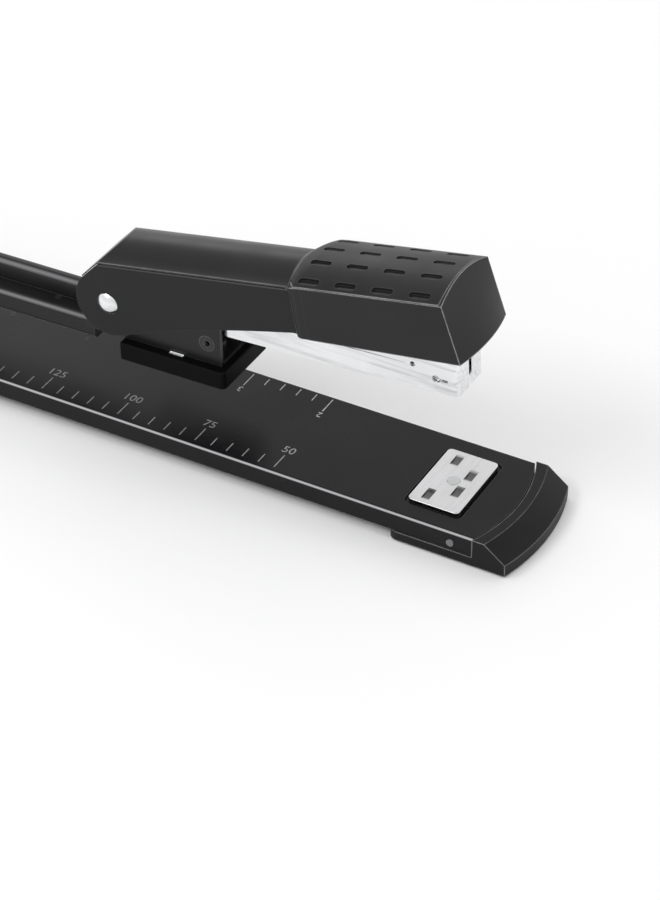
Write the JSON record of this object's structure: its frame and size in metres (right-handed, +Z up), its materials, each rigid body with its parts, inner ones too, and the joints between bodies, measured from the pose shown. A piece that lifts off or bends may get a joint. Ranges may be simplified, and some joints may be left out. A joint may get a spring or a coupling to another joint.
{
  "type": "long-arm stapler",
  "caption": "Long-arm desk stapler with a ruled steel base, sprung arm, opening staple magazine, press handle, turning anvil and sliding paper stop.",
  "frame": {"origin": "bottom centre of the base, midway along the stapler's length on the surface it stands on", "axes": "+X along the base towards the anvil and nose, +Y across the base, +Z up"},
  "size_m": [0.384, 0.042, 0.0773],
  "materials": {
    "black_paint": "semi-gloss black enamel",
    "raw_steel": "plain pressed steel",
    "cap_plastic": "fine-grained black",
    "rubber": "matte",
    "dark_rivet": "blackened steel",
    "zinc": "zinc plated",
    "chrome": "bright plated",
    "anvil_steel": "bright satin",
    "spring_steel": "spring steel",
    "rail_steel": "plated",
    "staple_wire": "galvanised wire",
    "bumper_plastic": "deep black",
    "pusher_plastic": "black",
    "handle_paint": "satin charcoal enamel",
    "cover_gloss": "glossy black",
    "grip_plastic": "satin charcoal",
    "grip_rubber": "smooth soft-touch"
  },
  "bodies": {
    "base": {"base_plate": "black_paint", "base_stiffener": "raw_steel", "nose_cap": "cap_plastic", "rear_cap": "cap_plastic", "front_feet": "rubber", "rear_feet": "rubber", "nose_rivets": "zinc", "rear_rivets": "zinc", "rear_bracket": "black_paint", "bracket_bolts": "zinc", "pivot_pin": "chrome", "spring_seat": "zinc", "arm_return_spring": "spring_steel"},
    "anvil_carrier": {"anvil_retainer": "zinc", "anvil_spring": "spring_steel"},
    "anvil": {"anvil_plate": "anvil_steel", "anvil_rivet": "chrome"},
    "paper_stop": {"paper_stop": "cap_plastic"},
    "arm": {"arm_beam": "black_paint", "arm_liner": "raw_steel", "head_bracket": "black_paint", "tongue_rivets": "dark_rivet", "bracket_eyelets": "dark_rivet", "head_bumper": "bumper_plastic", "bumper_screws": "zinc", "head_pin": "chrome", "magazine_spring": "spring_steel"},
    "magazine": {"magazine_channel": "chrome", "staple_rail": "rail_steel", "rail_rivets": "zinc", "rod_supports": "zinc", "guide_rod": "spring_steel", "staple_strip": "staple_wire", "pusher_spring": "spring_steel"},
    "pusher": {"pusher": "pusher_plastic"},
    "handle": {"handle_channel": "handle_paint", "top_cover": "cover_gloss", "grip_housing": "grip_plastic", "grip_pad": "grip_rubber", "driver_holder": "raw_steel", "driver_blade": "spring_steel", "driver_rivets": "zinc", "holder_rivets": "zinc", "handle_spring": "spring_steel", "leaf_rivets": "zinc", "housing_screws": "zinc"}
  },
  "joints": [
    {"name": "arm_hinge", "type": "hinge", "parent": "base", "child": "arm", "pos_m": [-0.167, 0, 0.0234], "axis": [0, -1, 0], "range_deg": [-3.3, 0], "stiffness_Nm_per_rad": 4, "springref_deg": 17.19, "deforming": ["arm_return_spring"]},
    {"name": "magazine_hinge", "type": "hinge", "parent": "arm", "child": "magazine", "pos_m": [0.062, 0, 0.0398], "axis": [0, -1, 0], "range_deg": [-7.45, 0], "stiffness_Nm_per_rad": 1.2, "springref_deg": 14.32, "deforming": ["magazine_spring"]},
    {"name": "handle_hinge", "type": "hinge", "parent": "magazine", "child": "handle", "pos_m": [0.062, 0, 0.0398], "axis": [0, -1, 0], "range_deg": [-4.3, 78], "stiffness_Nm_per_rad": 1.5, "springref_deg": 2.29, "deforming": ["handle_spring"]},
    {"name": "pusher_slide", "type": "slide", "parent": "magazine", "child": "pusher", "axis": [0.9985, 0, 0.0541], "range_m": [-0.05, 0], "stiffness_N_per_m": 60, "springref_m": 0.05, "deforming": ["pusher_spring"]},
    {"name": "anvil_lift", "type": "slide", "parent": "base", "child": "anvil_carrier", "axis": [0, 0, 1], "range_m": [0, 0.001], "stiffness_N_per_m": 800, "springref_m": -0.002, "deforming": ["anvil_spring"]},
    {"name": "anvil_turn", "type": "hinge", "parent": "anvil_carrier", "child": "anvil", "pos_m": [0.1639, 0, 0], "axis": [0, 0, 1], "range_deg": [0, 180]},
    {"name": "paper_stop_slide", "type": "slide", "parent": "base", "child": "paper_stop", "axis": [1, 0, 0], "range_m": [-0.025, 0.13]}
  ]
}
